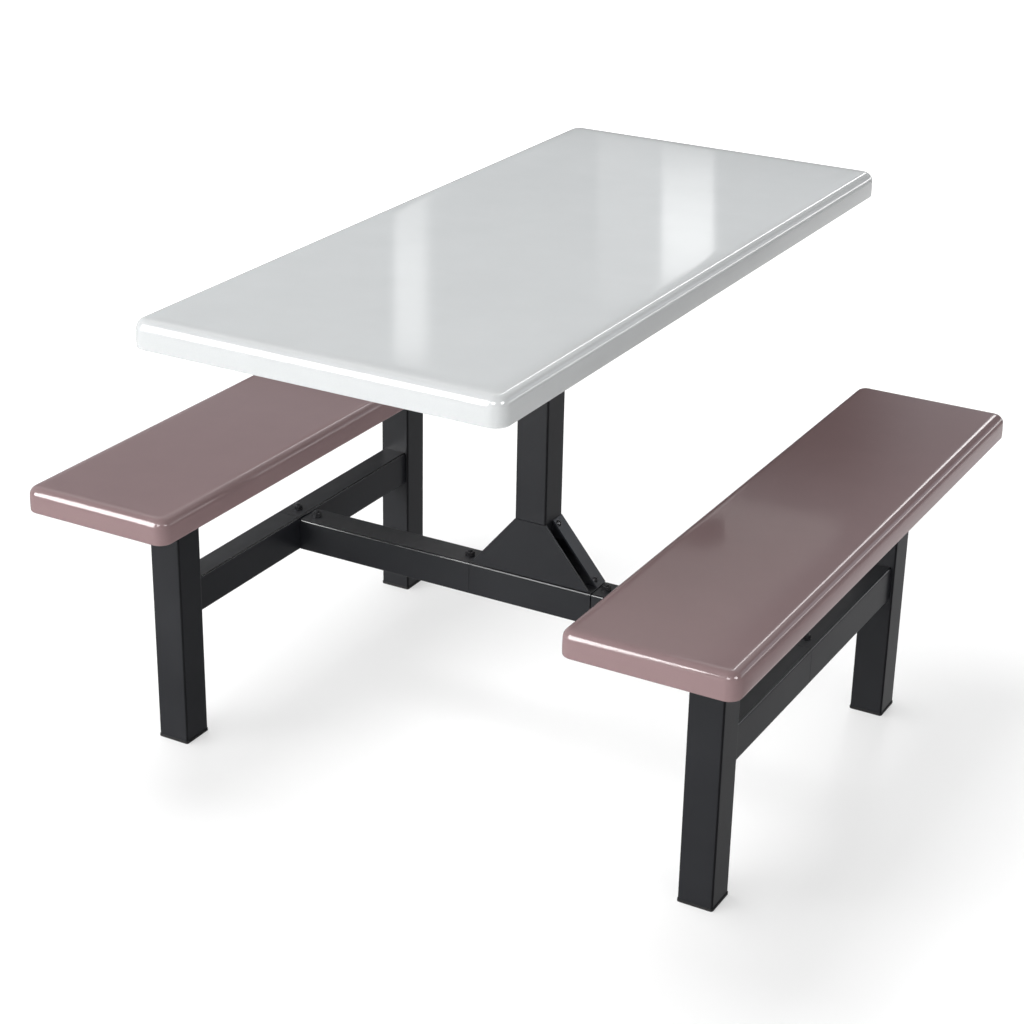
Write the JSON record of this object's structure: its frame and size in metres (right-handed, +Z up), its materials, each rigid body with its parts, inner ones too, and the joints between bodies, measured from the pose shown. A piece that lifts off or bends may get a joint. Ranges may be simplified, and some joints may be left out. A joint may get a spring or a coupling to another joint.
{
  "type": "canteen table with attached bench seats",
  "caption": "Rigid canteen table: rounded moulded top on one post, two moulded bench seats on square-tube legs, joined by rails, a bolted crossbar and a trapezoid gusset.",
  "frame": {"origin": "middle of the floor footprint, on the floor", "axes": "+Z up, +Y along the tabletop and seats towards the far ends, +X along the crossbar towards the right seat"},
  "size_m": [1.052, 1.15, 0.75],
  "materials": {
    "top_gelcoat": "glossy pale grey-white gelcoat over glass fibre",
    "seat_gelcoat": "glossy mauve-brown gelcoat over glass fibre",
    "core_board": "bonded plywood core",
    "backing_laminate": "satin balancing laminate",
    "frame_powder_coat": "satin black powder coat on steel tube",
    "foot_plastic": "black moulded plastic",
    "black_fastener": "black oxide steel fasteners"
  },
  "bodies": {
    "root": {"bearer_end_plugs": "foot_plastic", "bearer_screw_tabs": "frame_powder_coat", "crossbar_middle": "frame_powder_coat", "far_cross_bearer": "frame_powder_coat", "frame_bolts": "black_fastener", "frame_nuts": "black_fastener", "frame_washers": "black_fastener", "front_gusset_plate": "frame_powder_coat", "gusset_screws": "black_fastener", "left_crossbar_arm": "frame_powder_coat", "left_far_foot_cap": "foot_plastic", "left_far_leg": "frame_powder_coat", "left_far_seat_plate": "frame_powder_coat", "left_middle_spigot": "frame_powder_coat", "left_near_foot_cap": "foot_plastic", "left_near_leg": "frame_powder_coat", "left_near_seat_plate": "frame_powder_coat", "left_rail_far_length": "frame_powder_coat", "left_rail_near_length": "frame_powder_coat", "left_rail_spigot": "frame_powder_coat", "left_rail_splice_sleeve": "frame_powder_coat", "left_seat_backing_panel": "backing_laminate", "left_seat_core": "core_board", "left_seat_screws": "black_fastener", "left_seat_shell": "seat_gelcoat", "lower_gusset_blocks": "frame_powder_coat", "near_cross_bearer": "frame_powder_coat", "post_base_spigot": "frame_powder_coat", "post_top_plate": "frame_powder_coat", "post_tube": "frame_powder_coat", "rear_gusset_channel": "frame_powder_coat", "right_crossbar_arm": "frame_powder_coat", "right_far_foot_cap": "foot_plastic", "right_far_leg": "frame_powder_coat", "right_far_seat_plate": "frame_powder_coat", "right_middle_spigot": "frame_powder_coat", "right_near_foot_cap": "foot_plastic", "right_near_leg": "frame_powder_coat", "right_near_seat_plate": "frame_powder_coat", "right_rail_far_length": "frame_powder_coat", "right_rail_near_length": "frame_powder_coat", "right_rail_spigot": "frame_powder_coat", "right_rail_splice_sleeve": "frame_powder_coat", "right_seat_backing_panel": "backing_laminate", "right_seat_core": "core_board", "right_seat_screws": "black_fastener", "right_seat_shell": "seat_gelcoat", "tabletop_backing_panel": "backing_laminate", "tabletop_core": "core_board", "tabletop_screws": "black_fastener", "tabletop_shell": "top_gelcoat", "tabletop_spine_bearer": "frame_powder_coat", "top_plate_bolts": "black_fastener", "top_plate_nuts": "black_fastener", "top_plate_washers": "black_fastener", "upper_gusset_blocks": "frame_powder_coat"}
  },
  "joints": []
}
